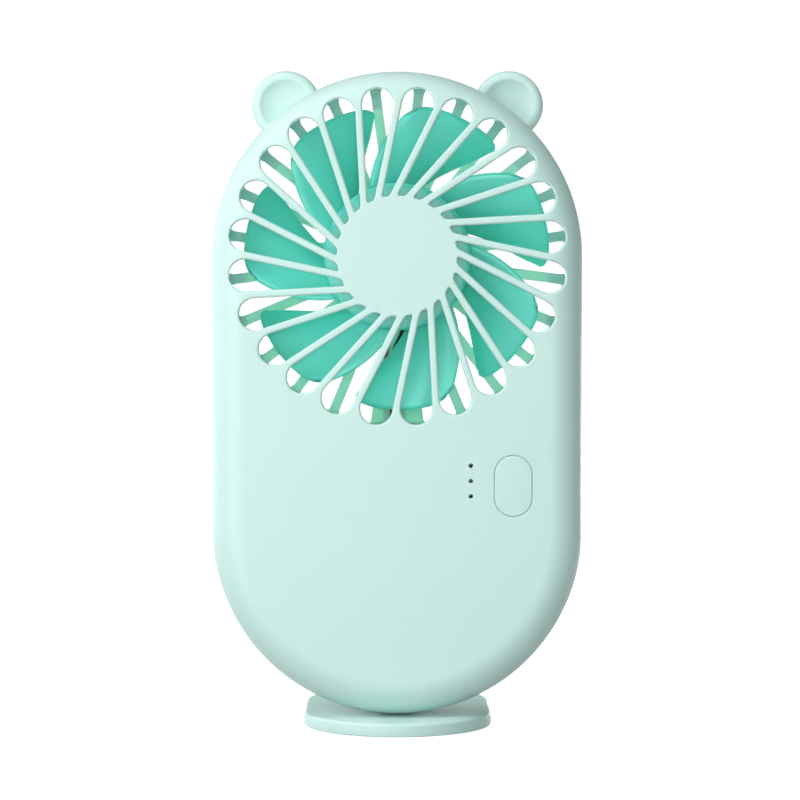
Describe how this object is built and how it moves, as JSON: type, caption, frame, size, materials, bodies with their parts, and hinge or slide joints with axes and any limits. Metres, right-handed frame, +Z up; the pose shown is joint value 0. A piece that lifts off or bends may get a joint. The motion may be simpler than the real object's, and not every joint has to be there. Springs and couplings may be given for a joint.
{
  "type": "handheld electric fan",
  "caption": "Pocket fan in a flat round-ended body with bear ears, a swirled grille over a swept impeller, a side push button and a plug-on oval stand.",
  "frame": {"origin": "on the stand peg's axis, at the underside of the stand's rubber pad", "axes": "+Z up, -Y towards the front grille, +X to the right seen from the front"},
  "size_m": [0.066, 0.048, 0.1179],
  "materials": {
    "mint_plastic": "fine matte",
    "teal_plastic": "satin",
    "motor_steel": "drawn steel",
    "magnet": "sintered ferrite",
    "laminations": "stacked sheet",
    "bronze": "sintered bronze",
    "copper": "enamelled wire",
    "black_plastic": "moulded",
    "grey_plastic": "moulded",
    "white_plastic": "translucent",
    "board_green": "solder mask",
    "chip_black": "moulded package",
    "component_tan": "fired ceramic",
    "plated_steel": "nickel plate",
    "battery_foil": "pouch foil",
    "grey_foam": "closed cell foam",
    "black_rubber": "matte",
    "lead_red": "insulated wire",
    "lead_black": "insulated wire",
    "pad_rubber": "fine ribbed silicone"
  },
  "bodies": {
    "stand": {"stand_plate": "mint_plastic", "stand_pad": "pad_rubber"},
    "fan": {"front_shell": "mint_plastic", "rear_shell": "mint_plastic", "ear_left": "mint_plastic", "ear_right": "mint_plastic", "motor_can": "motor_steel", "motor_end_cap": "black_plastic", "motor_magnets": "magnet", "motor_bushes": "bronze", "motor_brushes": "copper", "motor_terminals": "bronze", "motor_damper": "black_rubber", "circuit_board": "board_green", "control_chips": "chip_black", "board_components": "component_tan", "usb_port": "plated_steel", "usb_tongue": "black_plastic", "switch_body": "grey_plastic", "switch_dome": "plated_steel", "charge_lights": "white_plastic", "light_baffle": "black_rubber", "battery_cell": "battery_foil", "battery_foam": "grey_foam", "motor_lead_red": "lead_red", "motor_lead_black": "lead_black", "battery_lead_red": "lead_red", "battery_lead_black": "lead_black", "case_screws": "plated_steel", "board_screws": "plated_steel", "stand_socket": "grey_plastic"},
    "rotor": {"impeller": "teal_plastic", "motor_shaft": "motor_steel", "rotor_core": "laminations", "rotor_windings": "copper", "commutator": "copper"},
    "button": {"button_cap": "mint_plastic", "switch_plunger": "white_plastic"}
  },
  "joints": [
    {"name": "stand_lift", "type": "slide", "parent": "stand", "child": "fan", "axis": [0, 0, 1], "range_m": [0, 0.012]},
    {"name": "impeller_spin", "type": "hinge", "parent": "fan", "child": "rotor", "pos_m": [0, 0, 0.0845], "axis": [0, -1, 0], "continuous": true},
    {"name": "button_press", "type": "slide", "parent": "fan", "child": "button", "axis": [0, 1, 0], "range_m": [0, 0.0005], "stiffness_N_per_m": 1200, "springref_m": -0.0005}
  ]
}
